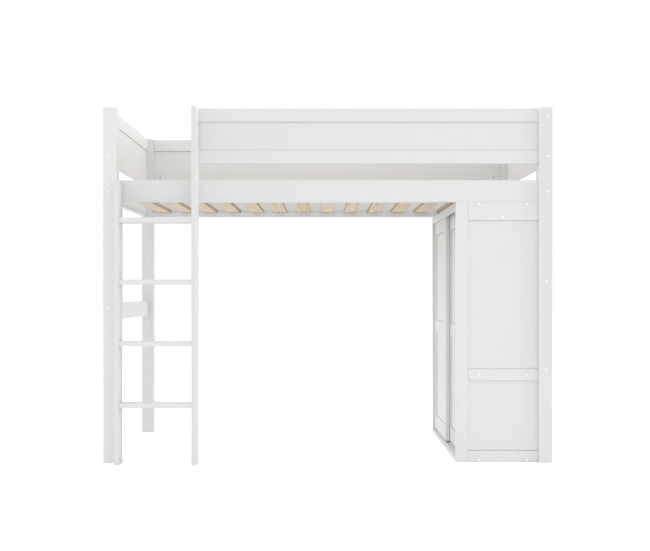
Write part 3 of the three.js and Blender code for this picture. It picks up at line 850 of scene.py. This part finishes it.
def model_panel(node, gaps, middle_rail=None):
    """Panel with a shadow gap in both faces beside each rail. The rails stand over its grooved-in edges."""
    low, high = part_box(node)
    panel = add_block(f"{node}_board", low, high)
    edges = [(high.z - GROOVE_DEPTH, -gaps["top"]), (low.z + GROOVE_DEPTH, gaps["bottom"])]
    if middle_rail:
        edges += [(middle_rail[0], -gaps["under_middle"]), (middle_rail[1], gaps["over_middle"])]
    thin = 1 if high.y - low.y < high.x - low.x else 0
    for edge, gap in edges:
        under, over = sorted((edge - math.copysign(CUT_MARGIN, gap), edge + gap))
        for face, inward in ((low, 1), (high, -1)):
            first, second = grown(low, high, CUT_MARGIN)
            first.z, second.z = under, over
            ends = (face[thin] - inward * CUT_MARGIN, face[thin] + inward * SHADOW_GAP_DEPTH)
            first[thin], second[thin] = sorted(ends)
            cut_away(panel, add_block("gap", first, second))
    ease_edges(panel, PANEL_EASING)
    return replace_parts(panel, node)


# Wardrobe walls and doors: frames of stiles and rails round a panel

def model_wall(side):
    node = f"wardrobe_{side}_frame"
    low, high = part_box(node)
    panel_low, panel_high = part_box(f"wardrobe_{side}_panel")
    stile_edge = low.x + WALL_STILE_WIDTH
    opening = (panel_low.z + GROOVE_DEPTH, panel_high.z - GROOVE_DEPTH)
    rails = {"bottom": (low.z, opening[0]), "middle": WALL_MID_RAIL, "top": (opening[1], high.z)}
    stile = add_block(f"wall_{side}_stile", low, (stile_edge - JOINT_LINE / 2, high.y, high.z))
    pieces = [stile]
    for place, (bottom, top) in rails.items():
        corner = (stile_edge + JOINT_LINE / 2, low.y, bottom)
        pieces.append(add_block(f"wall_{side}_rail_{place}", corner, (high.x, high.y, top)))
    for piece in pieces:
        groove_low, groove_high = grown(panel_low, panel_high, GROOVE_PLAY)
        groove_high.x = high.x + CUT_MARGIN
        cut_away(piece, add_block("groove", groove_low, groove_high))
        cut_cap_seats(piece, wall_caps(side))
        ease_edges(piece, FINE_EASING)
    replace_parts(stile, node)
    return pieces


def model_door(name):
    node = f"{name}_frame"
    low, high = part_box(node)
    panel_low, panel_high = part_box(f"{name}_panel")
    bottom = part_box("wardrobe_bottom_board")[1].z + DOOR_FLOOR_GAP
    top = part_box("wardrobe_top_board")[0].z - DOOR_LIFT
    opening = (panel_low.z + GROOVE_DEPTH, panel_high.z - GROOVE_DEPTH)
    stiles = {"front": (low.y, low.y + DOOR_STILE_WIDTH), "rear": (high.y - DOOR_STILE_WIDTH, high.y)}
    inner = (stiles["front"][1] + JOINT_LINE / 2, stiles["rear"][0] - JOINT_LINE / 2)
    rails = {"bottom": (bottom, opening[0]), "middle": DOOR_MID_RAIL, "top": (opening[1], top)}
    pieces = []
    for place, (front, rear) in stiles.items():
        outer = (front, rear - JOINT_LINE / 2) if place == "front" else (front + JOINT_LINE / 2, rear)
        corners = (low.x, outer[0], bottom), (high.x, outer[1], top)
        pieces.append(add_block(f"{name}_stile_{place}", *corners))
    for place, (under, over) in rails.items():
        corners = (low.x, inner[0], under), (high.x, inner[1], over)
        pieces.append(add_block(f"{name}_rail_{place}", *corners))
    for piece in pieces:
        cut_away(piece, add_block("groove", *grown(panel_low, panel_high, GROOVE_PLAY)))
        ease_edges(piece, FINE_EASING)
    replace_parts(pieces[0], node)
    return pieces + model_tongues(name, low, high, bottom, top)


def model_tongues(name, low, high, bottom, top):
    """Strips under and over a door that run in the grooves of the two boards."""
    centre = (low.x + high.x) / 2
    x = (centre - TONGUE_THICKNESS / 2, centre + TONGUE_THICKNESS / 2)
    y = (low.y + TONGUE_INSET, high.y - TONGUE_INSET)
    strips = []
    for place, under, over in (("bottom", low.z, bottom), ("top", top, high.z)):
        strip = add_block(f"{name}_tongue_{place}", (x[0], y[0], under), (x[1], y[1], over))
        strips.append(ease_edges(strip, FINE_EASING))
    return strips


def model_clothes_rail():
    low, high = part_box("clothes_rail")
    centre = middle("clothes_rail")
    rod = add_rod("hanging_rod", centre, AXES["y"], (high.x - low.x) / 2, high.y - low.y, ROD_SIDES)
    ease_edges(rod, EDGE_EASING)
    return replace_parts(rod, "clothes_rail")


# The whole object

def model_pieces(lacquers):
    for number in TREAD_NUMBERS:
        dress(model_tread(number), lacquers["x"])
    for side in ("left", "right"):
        dress(model_stile(side), lacquers["z"])
    for side in ("front", "rear"):
        for piece in model_wall(side):
            dress(piece, lacquers["x" if "rail" in piece.name else "z"])
    for name in DOORS:
        for piece in model_door(name):
            dress(piece, lacquers["z" if "stile" in piece.name else "y"], name)
    for side, axis in (("front", "x"), ("rear", "x"), ("left", "y"), ("right", "y")):
        dress(model_panel(f"guard_{side}_panel", GUARD_GAPS), lacquers[axis])
    for side in ("front", "rear"):
        dress(model_panel(f"wardrobe_{side}_panel", WALL_GAPS, WALL_MID_RAIL), lacquers["z"])
    for name in DOORS:
        dress(model_panel(f"{name}_panel", DOOR_GAPS, DOOR_MID_RAIL), lacquers["z"], name)


def dress_cad_nodes(lacquers, slat_pine):
    """Finishes the boards that nothing replaces, the grain along each one."""
    for name, node in NODES.items():
        if node.hide_render:
            continue
        is_slat = node.material_slots[0].material.name == "natural_pine"
        dress_cad_node(name, slat_pine if is_slat else lacquers[long_axis(*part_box(name))])


def main():
    add_camera()
    add_world()
    lamps = add_lamps()
    add_floor()

    lacquers = {axis: lacquer_finish(axis) for axis in AXES}
    # The slats' side faces get painted shade
    slat_pine = pine_finish("y", side_shade_axis="x")
    model_pieces(lacquers)
    dress(model_clothes_rail(), pine_finish("y"))
    add_fittings(lacquers)
    dress_cad_nodes(lacquers, slat_pine)

    aim_lamps(lamps)
    bpy.context.scene.view_settings.view_transform = "Standard"


main()
